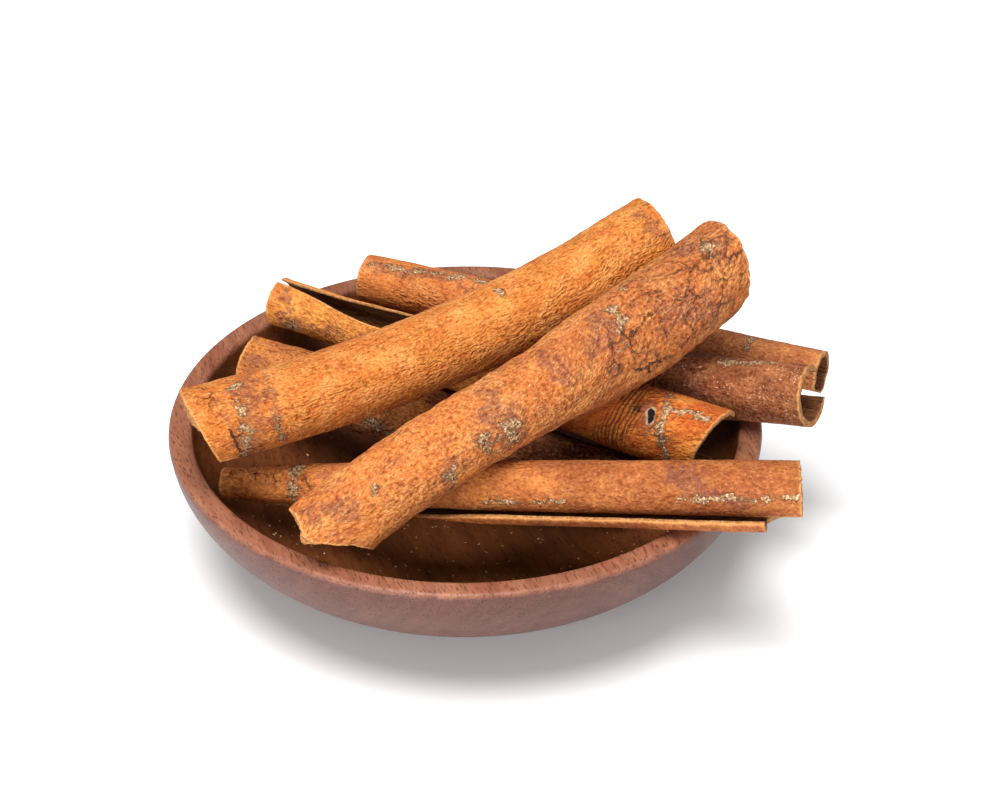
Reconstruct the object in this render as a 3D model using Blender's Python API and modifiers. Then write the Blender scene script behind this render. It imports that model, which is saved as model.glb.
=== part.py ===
"""A shallow turned wooden bowl that holds a loose stack of seven cinnamon quills.

Every quill is one sheet of bark rolled round a slightly bent centre line. Z is up, +X is to the
right of a person who faces the bowl, +Y is away from that person, and the origin is the centre
of the bowl's flat foot.
"""
import math

import bmesh
import bpy
from mathutils import Vector

MM = 0.001

# The bowl, in millimetres
RIM_RADIUS = 55.0
BOWL_HEIGHT = 27.0
OUTER_DEPTH = 29.0          # depth of the half ellipse that the foot cuts flat
MOUTH_RADIUS = 50.6
HOLLOW_DEPTH = 22.0
RIM_ROUND = 1.2
BOWL_STEPS = 60
WALL_POINTS = 9
WOOD = (0.19, 0.062, 0.034)

# The quills' shared facets
FACETS_PER_TURN = 18
FACETS_ALONG = 9
NO_LIFT = ((0, 0.0), (1, 0.0))
CURL_BAND = 0.2             # share of the sheet's width that a curled first edge takes up
LIFT_BAND = 0.25            # and that a last edge takes up where it lifts off the roll
TORN_BAND = 0.15            # and that is torn back in full where the lifted edge ends sooner

# Each quill runs from its left end to its right end, in millimetres. An angle round a quill is
# in degrees: 0 at its top, 90 at its front, 180 at its bottom. "lip" is where the sheet's first
# edge lies and "turns" is how far it winds from there, each as (share of the length, value).
# "drawn_back" is how much sooner a lifted edge ends at the right than the rest of its quill.
QUILLS = (
    dict(name="quill_top_back", colour=(0.60, 0.25, 0.066),
         left=(-46.6, -21.0, 38.4), right=(35.3, 21.0, 52.7), sag=3.0, belly=2.2, sway=0.0,
         radius=((0, 8.6), (0.15, 8.1), (0.8, 8.1), (1, 9.2)),
         lip=((0, 200), (1, 200)), turns=((0, 1.6), (1, 1.6)),
         bark=1.2, wind=1.7, left_lean=(-0.26, -0.13), right_lean=(0.0, 0.1)),
    dict(name="quill_top_front", colour=(0.50, 0.19, 0.060),
         left=(-21.4, -40.5, 31.0), right=(47.2, 7.5, 53.6), sag=0.0, belly=0.0, sway=1.1,
         radius=((0, 7.5), (0.22, 7.9), (0.5, 8.0), (0.75, 9.8), (1, 9.2)),
         lip=((0, 215), (1, 215)), turns=((0, 1.9), (1, 1.9)),
         bark=1.2, wind=1.7, left_lean=(-1.04, 0.14), right_lean=(0.40, -0.05)),
    dict(name="quill_front", colour=(0.46, 0.17, 0.055),
         left=(-43.9, -13.6, 21.4), right=(58.8, -36.6, 36.2), sag=0.0, belly=0.0, sway=0.0,
         radius=((0, 2.7), (0.15, 3.9), (0.6, 4.8), (1, 5.2)),
         lip=((0, 125), (1, 125)), turns=((0, -0.95), (0.25, -0.97), (0.5, -1.07), (1, -1.07)),
         bark=1.1, wind=0.0, lift=((0, 0.0), (0.25, 0.25), (0.5, 0.66), (1, 0.66)),
         drawn_back=6.0, right_lean=(0.0, 0.2)),
    dict(name="quill_far_back", colour=(0.42, 0.14, 0.045),
         left=(-19.8, 44.0, 30.2), right=(66.3, 6.3, 32.4), sag=0.0, belly=0.0, sway=0.0,
         radius=((0, 4.9), (1, 4.3)),
         lip=((0, 180), (1, 180)), turns=((0, 0.86), (1, 0.80)),
         bark=1.0, wind=0.0),
    dict(name="quill_right", colour=(0.36, 0.12, 0.042),
         left=(-9.3, 31.1, 20.0), right=(63.1, -7.2, 36.6), sag=0.0, belly=0.0, sway=0.0,
         radius=((0, 6.3), (0.7, 6.3), (1, 5.7)),
         lip=((0, -44), (1, -44)), turns=((0, 0.84), (1, 0.78)),
         bark=1.1, wind=0.0, curl=0.2),
    dict(name="quill_split", colour=(0.52, 0.15, 0.030),
         left=(-36.4, 34.3, 31.1), right=(44.8, -13.7, 30.4), sag=0.0, belly=0.0, sway=0.0,
         radius=((0, 4.5), (0.5, 6.0), (1, 6.8)),
         lip=((0, 6), (0.25, 42), (0.6, 0), (1, -62)), turns=((0, 0.95), (0.25, 0.83), (1, 0.76)),
         bark=0.9, wind=0.0, right_lean=(0.3, -0.1)),
    dict(name="quill_knobby", colour=(0.34, 0.12, 0.045),
         left=(-42.1, 18.4, 26.1), right=(31.0, -9.6, 16.2), sag=0.0, belly=0.0, sway=0.0,
         radius=((0, 6.4), (0.5, 7.2), (1, 6.6)),
         lip=((0, 205), (1, 205)), turns=((0, 1.3), (1, 1.3)),
         bark=1.2, wind=1.7),
)


def clear_scene():
    for obj in list(bpy.data.objects):
        bpy.data.objects.remove(obj, do_unlink=True)


def make_collection(name):
    collection = bpy.data.collections.new(name)
    bpy.context.scene.collection.children.link(collection)
    return collection


def make_material(name, colour, roughness):
    material = bpy.data.materials.new(name)
    material.use_nodes = True
    shader = material.node_tree.nodes["Principled BSDF"]
    shader.inputs["Base Color"].default_value = (*colour, 1.0)
    shader.inputs["Roughness"].default_value = roughness
    shader.inputs["Metallic"].default_value = 0.0
    return material


def between(keys, share):
    """Read a value off a list of (share, value) pairs, easing from one pair to the next."""
    for (low, first), (high, second) in zip(keys, keys[1:]):
        if share <= high:
            step = (share - low) / (high - low)
            return first + (second - first) * step * step * (3 - 2 * step)
    return keys[-1][1]


def bowl_profile():
    """From the middle of the hollow out to the rim, down the outer side and in to the middle."""
    points = []
    for i in range(WALL_POINTS):
        angle = math.radians(86) * i / (WALL_POINTS - 1)
        points.append((MOUTH_RADIUS * math.sin(angle), BOWL_HEIGHT - HOLLOW_DEPTH * math.cos(angle)))
    points.append((MOUTH_RADIUS + 0.4 * RIM_ROUND, BOWL_HEIGHT - 0.3 * RIM_ROUND))
    points.append((MOUTH_RADIUS + RIM_ROUND, BOWL_HEIGHT))
    points.append((RIM_RADIUS - RIM_ROUND, BOWL_HEIGHT))
    points.append((RIM_RADIUS - 0.3 * RIM_ROUND, BOWL_HEIGHT - 0.4 * RIM_ROUND))
    foot_angle = math.asin(BOWL_HEIGHT / OUTER_DEPTH)
    rim_angle = math.asin(RIM_ROUND / OUTER_DEPTH)
    for i in range(WALL_POINTS):
        angle = rim_angle + (foot_angle - rim_angle) * i / (WALL_POINTS - 1)
        points.append((RIM_RADIUS * math.cos(angle), BOWL_HEIGHT - OUTER_DEPTH * math.sin(angle)))
    points.append((0.0, 0.0))
    return points


def make_bowl(collection):
    points = bowl_profile()
    mesh = bpy.data.meshes.new("bowl")
    edges = [(i, i + 1) for i in range(len(points) - 1)]
    mesh.from_pydata([(x * MM, 0.0, z * MM) for x, z in points], edges, [])
    bowl = bpy.data.objects.new("bowl", mesh)
    collection.objects.link(bowl)
    bowl.data.materials.append(make_material("bowl_wood", WOOD, 0.5))
    turn = bowl.modifiers.new("turned", 'SCREW')
    turn.steps = BOWL_STEPS
    turn.render_steps = BOWL_STEPS
    turn.use_merge_vertices = True
    turn.merge_threshold = 0.00005
    turn.use_smooth_shade = True
    return bowl


def roll_point(quill, across, along):
    """Where a point of the flat sheet lies once it is rolled, in millimetres.

    across runs from one long edge of the sheet to the other, along from its left end to its
    right end, both from 0 to 1.
    """
    left, right = Vector(quill["left"]), Vector(quill["right"])
    axis = (right - left).normalized()
    up = (Vector((0, 0, 1)) - axis * axis.z).normalized()
    front = axis.cross(up)
    turns = between(quill["turns"], along)
    angle = math.radians(between(quill["lip"], along)) + 2 * math.pi * turns * across
    outer = between(quill["radius"], along)
    reach = outer - quill["bark"] / 2 - quill["wind"] * abs(turns) * across
    first_edge = max(0.0, 1 - across / CURL_BAND) ** 2
    last_edge = between(((0, 0.0), (1 - LIFT_BAND, 0.0), (1, 1.0)), across)
    reach *= 1 - quill.get("curl", 0.0) * first_edge + between(quill.get("lift", NO_LIFT), along) * last_edge
    side = up * math.cos(angle) + front * math.sin(angle)
    centre = left.lerp(right, along) - up * quill["sag"] * 4 * along * (1 - along)
    centre += front * quill["belly"] * 4 * along * (1 - along)
    centre += up * quill["sway"] * math.sin(2 * math.pi * along)
    torn = between(((0, 0.0), (1 - LIFT_BAND, 0.0), (1 - TORN_BAND, 1.0), (1, 1.0)), across)
    lean = -quill.get("drawn_back", 0.0) * torn * along ** 3
    for key, weight in (("left_lean", (1 - along) ** 3), ("right_lean", along ** 3)):
        lean_up, lean_front = quill.get(key, (0.0, 0.0))
        lean += weight * (lean_up * math.cos(angle) + lean_front * math.sin(angle)) * reach
    return centre + side * reach + axis * lean


def make_quill(quill, collection):
    mesh = bpy.data.meshes.new(quill["name"])
    sheet = bmesh.new()
    most_turns = max(abs(turns) for _, turns in quill["turns"])
    facets_round = round(FACETS_PER_TURN * most_turns)
    bmesh.ops.create_grid(sheet, x_segments=facets_round, y_segments=FACETS_ALONG, size=0.5)
    for vertex in sheet.verts:
        vertex.co = roll_point(quill, vertex.co.x + 0.5, vertex.co.y + 0.5) * MM
    bmesh.ops.recalc_face_normals(sheet, faces=sheet.faces)
    sheet.to_mesh(mesh)
    sheet.free()
    mesh.shade_smooth()
    roll = bpy.data.objects.new(quill["name"], mesh)
    collection.objects.link(roll)
    roll.data.materials.append(make_material(quill["name"] + "_bark", quill["colour"], 0.8))
    bark = roll.modifiers.new("bark", 'SOLIDIFY')
    bark.thickness = quill["bark"] * MM
    bark.offset = 0.0
    bark.use_even_offset = True
    return roll


def main():
    clear_scene()
    collection = make_collection("stack of cinnamon sticks")
    make_bowl(collection)
    for quill in QUILLS:
        make_quill(quill, collection)


main()
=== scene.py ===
# %% [markdown]
# A loose stack of cinnamon quills in a shallow wooden bowl. The measured model gives every size
# and place: this file reads each quill's centre line, radius and cut ends off it, and then makes
# the fine surface that bark and turned wood really have. Lengths are in metres.

# %% Load the measured model
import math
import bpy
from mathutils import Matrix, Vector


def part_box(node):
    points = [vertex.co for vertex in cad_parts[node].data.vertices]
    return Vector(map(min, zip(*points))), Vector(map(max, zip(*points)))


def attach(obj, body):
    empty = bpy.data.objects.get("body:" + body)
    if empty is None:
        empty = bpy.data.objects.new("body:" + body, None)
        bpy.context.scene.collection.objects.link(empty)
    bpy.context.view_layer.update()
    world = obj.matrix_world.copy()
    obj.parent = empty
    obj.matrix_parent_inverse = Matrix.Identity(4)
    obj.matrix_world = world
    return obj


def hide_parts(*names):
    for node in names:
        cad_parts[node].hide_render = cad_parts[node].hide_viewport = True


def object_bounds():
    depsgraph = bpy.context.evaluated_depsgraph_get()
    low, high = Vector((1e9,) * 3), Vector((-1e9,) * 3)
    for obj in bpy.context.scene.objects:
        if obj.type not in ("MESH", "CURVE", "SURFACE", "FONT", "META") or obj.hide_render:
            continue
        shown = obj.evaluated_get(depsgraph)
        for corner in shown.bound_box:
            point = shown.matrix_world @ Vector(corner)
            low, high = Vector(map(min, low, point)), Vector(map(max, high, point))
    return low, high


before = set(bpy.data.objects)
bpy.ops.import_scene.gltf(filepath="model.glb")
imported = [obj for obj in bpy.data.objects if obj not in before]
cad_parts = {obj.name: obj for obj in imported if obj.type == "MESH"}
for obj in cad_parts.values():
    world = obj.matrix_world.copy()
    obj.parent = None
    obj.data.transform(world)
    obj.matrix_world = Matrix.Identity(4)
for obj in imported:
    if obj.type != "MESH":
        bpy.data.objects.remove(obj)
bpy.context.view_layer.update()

# %% What the rest of the file uses
from types import SimpleNamespace

import bmesh
import bpy
import numpy as np
from mathutils import Vector

MM = 0.001
BODY = "root"
print("nodes:", ", ".join(sorted(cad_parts)))


# %% [markdown]
# Blender's node trees are easiest to read when a formula looks like a formula. So the output of a
# node is wrapped as a value that can be added and multiplied like a number, and each sum adds
# the math node that does it. The helper below adds nodes of any kind, plugs numbers or values
# into them, and hands back such values. It serves shapes and materials alike.

# %% Values and a helper that write node trees
class Value:
    """The output of a node, for use in formulas."""

    def __init__(self, graph, socket):
        self.graph = graph
        self.socket = socket

    def __add__(self, other):
        return self.graph.math('ADD', self, other)

    def __sub__(self, other):
        return self.graph.math('SUBTRACT', self, other)

    def __rsub__(self, other):
        return self.graph.math('SUBTRACT', other, self)

    def __mul__(self, other):
        return self.graph.math('MULTIPLY', self, other)

    def __truediv__(self, other):
        return self.graph.math('DIVIDE', self, other)

    def __pow__(self, other):
        return self.graph.math('POWER', self, other)

    def __abs__(self):
        return self.graph.math('ABSOLUTE', self)

    __radd__ = __add__
    __rmul__ = __mul__


class Graph:
    def __init__(self, tree):
        self.tree = tree

    def node(self, kind, **settings):
        made = self.tree.nodes.new(kind)
        for name, value in settings.items():
            setattr(made, name, value)
        return made

    def plug(self, socket, value):
        if isinstance(value, Value):
            self.tree.links.new(value.socket, socket)
        elif value is not None:
            socket.default_value = value

    def outputs(self, node):
        """A node's outputs as values, by name."""
        return {socket.name: Value(self, socket) for socket in node.outputs}

    def add(self, kind, inputs=None, out=0, **settings):
        made = self.node(kind, **settings)
        for name, value in (inputs or {}).items():
            self.plug(made.inputs[name], value)
        return Value(self, made.outputs[out])

    def math(self, operation, *values):
        made = self.node("ShaderNodeMath", operation=operation)
        for socket, value in zip(made.inputs, values):
            self.plug(socket, value)
        return Value(self, made.outputs[0])

    def vector(self, operation, *values):
        made = self.node("ShaderNodeVectorMath", operation=operation)
        for socket, value in zip(made.inputs, values):
            self.plug(socket, value)
        return Value(self, made.outputs["Value" if operation == 'LENGTH' else "Vector"])

    def scaled(self, vector, factor):
        inputs = {"Vector": vector, "Scale": factor}
        return self.add("ShaderNodeVectorMath", inputs, out="Vector", operation='SCALE')

    def xyz(self, x=0.0, y=0.0, z=0.0):
        return self.add("ShaderNodeCombineXYZ", {"X": x, "Y": y, "Z": z})

    def parts(self, vector):
        made = self.node("ShaderNodeSeparateXYZ")
        self.plug(made.inputs[0], vector)
        return [Value(self, socket) for socket in made.outputs]

    def noise(self, vector, scale=1.0, detail=2.0, rough=0.5):
        inputs = {"Vector": vector, "Scale": scale, "Detail": detail, "Roughness": rough}
        return self.add("ShaderNodeTexNoise", inputs)

    def mix(self, share, first, second, blend='MIX'):
        made = self.node("ShaderNodeMix", data_type='RGBA', blend_type=blend, clamp_factor=True)
        for index, value in ((0, share), (6, first), (7, second)):
            self.plug(made.inputs[index], value)
        return Value(self, made.outputs[2])

    def span(self, value, low, high, to_low=0.0, to_high=1.0, smooth=False):
        kind = 'SMOOTHSTEP' if smooth else 'LINEAR'
        inputs = {"Value": value, "From Min": low, "From Max": high, "To Min": to_low,
                  "To Max": to_high}
        return self.add("ShaderNodeMapRange", inputs, interpolation_type=kind)


def new_group(name, kind, inputs, outputs):
    """An empty node group with named sockets: (name, socket type, default) each."""
    tree = bpy.data.node_groups.new(name, kind)
    for side, sockets in (('INPUT', inputs), ('OUTPUT', outputs)):
        for label, socket_type, default in sockets:
            made = tree.interface.new_socket(label, in_out=side, socket_type=socket_type)
            if default is not None:
                made.default_value = default
    return tree


NUMBER, VECTOR, COLOUR = 'NodeSocketFloat', 'NodeSocketVector', 'NodeSocketColor'
WHOLE, SWITCH = 'NodeSocketInt', 'NodeSocketBool'
SHAPE, MATERIAL = 'NodeSocketGeometry', 'NodeSocketMaterial'
print("an input can be:", NUMBER, VECTOR, COLOUR, WHOLE, SWITCH, SHAPE, MATERIAL)


# %% [markdown]
# A quill is bark that dried into a roll, so three facts place it: the line down its middle, its
# radius along that line, and how its ends are cut. All three are read from the measured solids.
# A plane across the solid cuts it in a ring of points, and a circle through the outer ones gives
# the middle and the radius there. A circle that is fitted to only the sound part of the ring
# isn't fooled by a lifted edge.

# %% A circle round one slice
FITS = 4
OUTER_PERCENT = 96
BARK_SHARE = 0.55


def corners_and_edges(node):
    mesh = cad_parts[node].data
    corners = np.empty(len(mesh.vertices) * 3)
    mesh.vertices.foreach_get("co", corners)
    edges = np.empty(len(mesh.edges) * 2, int)
    mesh.edges.foreach_get("vertices", edges)
    return corners.reshape(-1, 3), edges.reshape(-1, 2)


def across_axes(axis):
    up = np.array((0.0, 0.0, 1.0)) - axis * axis[2]
    up /= np.linalg.norm(up)
    return up, np.cross(axis, up)


def circle_through(points):
    """The circle that fits points (x, y) best: its centre and its radius."""
    table = np.column_stack((2 * points, np.ones(len(points))))
    x, y, rest = np.linalg.lstsq(table, (points ** 2).sum(1), rcond=None)[0]
    return np.array((x, y)), math.sqrt(rest + x * x + y * y)


def slice_circle(corners, edges, axis, place, bark, sound):
    """Centre and outer radius of the ring that a plane across the axis cuts, in metres."""
    up, front = across_axes(axis)
    along = corners @ axis
    first, second = along[edges[:, 0]], along[edges[:, 1]]
    crossing = (first - place) * (second - place) < 0
    share = ((place - first) / np.where(first == second, 1, second - first))[crossing, None]
    low, high = corners[edges[crossing, 0]], corners[edges[crossing, 1]]
    points = low + (high - low) * share
    flat = np.column_stack((points @ up, points @ front))
    centre = (flat.min(0) + flat.max(0)) / 2
    for _ in range(FITS):
        away = flat - centre
        angle = np.degrees(np.arctan2(away[:, 1], away[:, 0]))
        kept = (angle >= sound[0]) & (angle <= sound[1])
        reach = np.linalg.norm(away, axis=1)
        outer = kept & (reach > np.percentile(reach[kept], OUTER_PERCENT) - BARK_SHARE * bark)
        centre, radius = circle_through(flat[outer])
    return centre, radius


print("slices are fitted", FITS, "times each")


# %% [markdown]
# The quill's own direction isn't known beforehand. A first guess comes from the spread of the
# corners, and the slices' middles then improve it. Each end is read as a plane through the
# farthest corner of every sector round the axis, which tells how far the cut lies and how it
# leans. Corners far off the rest belong to a torn flap and are left out.

# %% Read a quill's middle line off its solid
SLICES = 15
GUIDE_POINTS = 33
END_SECTORS = 12
FARTHEST_CUT = 14 * MM


def cut_end(corners, centre_of, axis, end):
    """How far along the axis the cut lies, and how it leans up and to the front (metres)."""
    up, front = across_axes(axis)
    along = corners @ axis
    away = np.column_stack((corners @ up, corners @ front)) - centre_of(along)
    angle = np.arctan2(away[:, 1], away[:, 0])
    rows, reads = [], []
    for low in np.linspace(-math.pi, math.pi, END_SECTORS + 1)[:-1]:
        inside = (angle >= low) & (angle < low + 2 * math.pi / END_SECTORS)
        if inside.any():
            pick = np.argmax(along[inside] * end)
            reads.append(along[inside][pick])
            rows.append((1.0, math.cos(angle[inside][pick]), math.sin(angle[inside][pick])))
    rows, reads = np.array(rows), np.array(reads)
    near = abs(reads - np.median(reads)) < FARTHEST_CUT
    return np.linalg.lstsq(rows[near], reads[near], rcond=None)[0]


def measure_quill(node, bark, sound, ends):
    corners, edges = corners_and_edges(node)
    axis = np.linalg.svd(corners - corners.mean(0), full_matrices=False)[2][0]
    axis *= math.copysign(1, axis[0])
    for _ in range(3):
        up, front = across_axes(axis)
        along = corners @ axis
        low, high = along.min(), along.max()
        places = np.linspace(low + ends * (high - low), high - max(ends, 0.08) * (high - low), SLICES)
        rings = [slice_circle(corners, edges, axis, place, bark, sound) for place in places]
        centres = np.array([centre for centre, _ in rings])
        middle = axis * places[:, None] + centres[:, :1] * up + centres[:, 1:] * front
        turned = np.linalg.svd(middle - middle.mean(0), full_matrices=False)[2][0]
        axis = turned * math.copysign(1, turned[0])
    radii = np.array([radius for _, radius in rings])
    curves = [np.polyfit(places, centres[:, side], 3) for side in (0, 1)]

    def centre_of(place):
        return np.column_stack([np.polyval(curve, np.clip(place, places[0], places[-1]))
                                for curve in curves])

    left, right = (cut_end(corners, centre_of, axis, end) for end in (-1, 1))
    stations = np.linspace(left[0], right[0], GUIDE_POINTS)
    offsets = np.column_stack([np.polyval(curve, stations) for curve in curves])
    points = axis * stations[:, None] + offsets[:, :1] * up + offsets[:, 1:] * front
    return dict(axis=axis, up=up, front=front, points=points, radii=np.interp(stations, places, radii),
                left_lean=left[1:], right_lean=right[1:], length=right[0] - left[0], bark=bark)


print("every quill gets", GUIDE_POINTS, "points down its middle")


# %% [markdown]
# Bark curls up as it dries, and each sheet in the bowl has curled its own way. These are the
# habits of each one: where its first long edge lies round the quill (in degrees, 0 on top, 90
# in front), how many turns it makes from there, how much each turn tightens, how far a long edge
# curls in or lifts off, and how thick the bark is. Values that change along the quill are lists
# of (share of the length, value).

# %% How each sheet of bark is wound
FLAT = ((0, 0.0), (1, 0.0))


def habit(lip, turns, bark, wind=0.0, curl=FLAT, lift=FLAT, drawn_back=0.0, sound=(-181, 181),
          ends=0.11, **relief):
    return dict(lip=lip, turns=turns, bark=bark * MM, wind=wind * MM, curl=curl, lift=lift,
                drawn_back=drawn_back * MM, sound=sound, ends=ends, relief=relief)


def even(value):
    return ((0, value), (1, value))


HABITS = {
    "quill_top_back": habit(even(200), even(1.6), 1.2, wind=1.7, wrinkles=0.24, knobs=0.03, ragged=0.5),
    "quill_top_front": habit(even(215), even(1.9), 1.2, wind=1.7, wrinkles=0.20, knobs=0.05, ragged=0.9,
                             lumps=0.5, tip=(3.0, 41)),
    "quill_front": habit(even(125), ((0, -0.95), (0.25, -0.97), (0.5, -1.07), (1, -1.07)), 1.1,
                         lift=((0, 0.0), (0.25, 0.25), (0.5, 0.66), (1, 0.66)), drawn_back=6.0,
                         sound=(-120, 90), ends=0.03, wrinkles=0.09, knobs=0.03, ragged=0.6),
    "quill_far_back": habit(even(180), ((0, 0.86), (1, 0.80)), 1.0,
                            wrinkles=0.09, knobs=0.04, ragged=0.4),
    "quill_right": habit(even(-44), ((0, 0.84), (1, 0.78)), 1.1, curl=even(0.2), sound=(0, 181),
                         wrinkles=0.07, knobs=0.03, ragged=0.25),
    "quill_split": habit(((0, 6), (0.25, 42), (0.6, 0), (1, -62)), ((0, 0.95), (0.25, 0.83), (1, 0.76)),
                         0.9, sound=(50, 181), wrinkles=0.10, knobs=0.04, ragged=0.4,
                         ridges=0.13, ridge_span=(0.77, 0.85), knot=((0.880, 43), (1.7, 0.85, 0.75))),
    "quill_knobby": habit(even(205), even(1.3), 1.2, wind=1.7, wrinkles=0.10, knobs=0.11, ragged=0.5,
                          dent_size=7.0),
}


def keyed(keys, share):
    """Read a value off a list of (share, value) pairs, easing from one pair to the next."""
    for (low, first), (high, second) in zip(keys, keys[1:]):
        if share <= high:
            step = (share - low) / (high - low)
            return first + (second - first) * step * step * (3 - 2 * step)
    return keys[-1][1]


MEASURED = {}
for name, wound in HABITS.items():
    MEASURED[name] = measure_quill(name, wound["bark"], wound["sound"], wound["ends"])
    made = MEASURED[name]
    print(f"{name}: {made['length'] / MM:.1f} mm long, radius {made['radii'].mean() / MM:.1f} mm")


# %% [markdown]
# Rolling a sheet is a rule, so Geometry Nodes do it. A flat grid stands for the sheet: one
# direction runs along the quill, the other winds round it. The tree looks up the middle line at
# each grid point's place along the quill, turns out from it by the winding angle, and adds the
# relief that bark has: long wrinkles, slow dents, ridges across, and ends that broke unevenly.
# The guide is a row of points that carry the radius, the winding and the lift with them.

# %% What the rolling tree is told
ROLL_INPUTS = (
    ("Guide", SHAPE, None), ("Across Count", WHOLE, 100), ("Along Count", WHOLE, 200),
    ("Axis", VECTOR, (1, 0, 0)), ("Up", VECTOR, (0, 0, 1)), ("Front", VECTOR, (0, -1, 0)),
    ("Length", NUMBER, 0.09), ("Wind", NUMBER, 0.0017), ("Left Lean", VECTOR, (0, 0, 0)),
    ("Right Lean", VECTOR, (0, 0, 0)), ("Left Tip", VECTOR, (0, 0, 0)), ("Drawn Back", NUMBER, 0.0),
    ("Wrinkle Depth", NUMBER, 0.0001), ("Dent Share", NUMBER, 0.03), ("Dent Size", NUMBER, 0.012),
    ("Lump Height", NUMBER, 0.0002), ("Ridge Depth", NUMBER, 0.0), ("Ridge Start", NUMBER, 0.5),
    ("Ridge End", NUMBER, 0.8), ("Ragged", NUMBER, 0.0005), ("Knot Place", VECTOR, (0, 0, 0)),
    ("Knot Size", VECTOR, (0.001, 0.001, 0)), ("Seed", NUMBER, 0.0), ("Winds Back", SWITCH, False),
    ("Bark", MATERIAL, None),
)
CURL_BAND = 0.2
LIFT_BAND = 0.25
TORN_BAND = 0.15
SHEET_MAP = "sheet"


def along_guide(graph, curve, label, share):
    """The value that the guide's points carry under a name, at a share of its length."""
    value = graph.add("GeometryNodeInputNamedAttribute", {"Name": label}, data_type='FLOAT')
    inputs = {"Curves": curve, "Value": value, "Factor": share}
    return graph.add("GeometryNodeSampleCurve", inputs, mode='FACTOR', use_all_curves=True)


def read_sheet(graph, given, curve):
    """What the reliefs need to know at each point of the flat sheet, under plain names."""
    flat = graph.parts(graph.add("GeometryNodeInputPosition"))
    along = flat[1] + 0.5
    across = flat[0] + 0.5
    lip, turns, radius, lift, curl = (along_guide(graph, curve, label, along)
                                      for label in ("lip", "turns", "radius", "lift", "curl"))
    wound = 2 * math.pi * turns * across
    angle = lip + wound
    return SimpleNamespace(
        across=across, along=along, from_middle=flat[1], radius=radius, lift=lift, curl=curl,
        wound=wound, angle=angle, up=graph.math('COSINE', angle), front=graph.math('SINE', angle),
        from_start=along * given["Length"],
        from_lip=abs(wound) * radius)


print(f"{len(ROLL_INPUTS)} inputs for rolling a sheet")


# %% [markdown]
# Each relief is a short formula of its own that gives a height at every point of the sheet.
# Noise that is squeezed across and drawn out along makes wrinkles, round noise makes lumps and
# dents, a sine that wavers makes the ridges where the bark creased, and the knot is a ring.

# %% The reliefs of bark
WRINKLE_WIDTH, WRINKLE_LENGTH = 0.9 * MM, 5.0 * MM
DRIFT_WIDTH, DRIFT_LENGTH = 6 * MM, 9 * MM
LUMP_SIZE = 2.6 * MM
RIDGE_PITCH = 1.5 * MM
RIDGE_WAVER = 5 * MM


def on_sheet(graph, here, given, width, length):
    """A place on the flat sheet, counted in widths and lengths of the relief."""
    return graph.xyz(here.from_lip / width, here.from_start / length, given["Seed"])


def swing(noise, depth):
    """Noise from 0 to 1 turned into heights from -depth to depth."""
    return (noise - 0.5) * 2.0 * depth


def dent_relief(graph, here, given):
    """Slow dents, as a share of the radius."""
    place = graph.xyz(here.up, here.front, here.from_start / given["Dent Size"])
    seeded = graph.vector('ADD', place, graph.xyz(0, 0, given["Seed"]))
    return swing(graph.noise(seeded, 1.0, 2.0, 0.55), given["Dent Share"])


def lump_relief(graph, here, given):
    place = on_sheet(graph, here, given, LUMP_SIZE, 1.3 * LUMP_SIZE)
    return swing(graph.noise(place, 1.0, 3.0, 0.6), given["Lump Height"])


def wrinkle_relief(graph, here, given):
    drift = graph.noise(on_sheet(graph, here, given, DRIFT_WIDTH, DRIFT_LENGTH))
    wavy = here.from_lip / WRINKLE_WIDTH + drift * 5.0
    place = graph.xyz(wavy, here.from_start / WRINKLE_LENGTH, given["Seed"])
    return swing(graph.noise(place, 1.0, 3.0, 0.6), given["Wrinkle Depth"])


def ridge_relief(graph, here, given):
    bend = graph.noise(graph.xyz(here.from_lip / RIDGE_WAVER, 0.0, given["Seed"]), 1.0, 1.0)
    phase = here.from_start / RIDGE_PITCH + bend * 4.0
    waves = graph.math('SINE', 2 * math.pi * phase)
    start, end = given["Ridge Start"], given["Ridge End"]
    begun = graph.span(here.along, start - 0.04, start, smooth=True)
    ended = graph.span(here.along, end, end + 0.05, 1.0, 0.0, smooth=True)
    return waves * begun * ended * given["Ridge Depth"]


def knot_relief(graph, here, given):
    """A pit with a raised rim, as deep as the third number of Knot Size."""
    place, size = graph.parts(given["Knot Place"]), graph.parts(given["Knot Size"])
    away = graph.vector('LENGTH', graph.xyz((here.from_lip - place[0]) / size[0],
                                            (here.from_start - place[1]) / size[1]))
    pit = graph.span(away, 0.75, 1.0, -1.0, 0.0, smooth=True)
    ring = abs(away - 1.2)
    rim = graph.span(ring, 0.0, 0.35, 0.25, 0.0, smooth=True)
    return (pit + rim) * size[2]


def reach_out(graph, here, given):
    """How far each point lies from the middle line."""
    tighten = abs(here.wound) / (2 * math.pi) * given["Wind"]
    first_edge = graph.span(here.across, 0.0, CURL_BAND, 1.0, 0.0) ** 2.0
    last_edge = graph.span(here.across, 1 - LIFT_BAND, 1.0, smooth=True)
    shape = here.lift * last_edge - here.curl * first_edge
    shape = shape + dent_relief(graph, here, given) + 1.0
    reach = (here.radius - tighten) * shape
    for relief in (wrinkle_relief, ridge_relief, lump_relief, knot_relief):
        reach = reach + relief(graph, here, given)
    return reach


# %% [markdown]
# The ends are shaped by sliding points along the quill. Both cuts lean a little, one end runs out
# into a tip, a torn flap stays behind, and a band of rough noise right at the end breaks it up.

# %% The cut and broken ends
BREAK_SIZE = 2.4 * MM
TIP_SHARPNESS = 9.0


def lean_of(graph, here, tilt, weight):
    parts = graph.parts(tilt)
    lean = parts[0] * here.up + parts[1] * here.front
    return lean * weight ** 3.0


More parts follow.
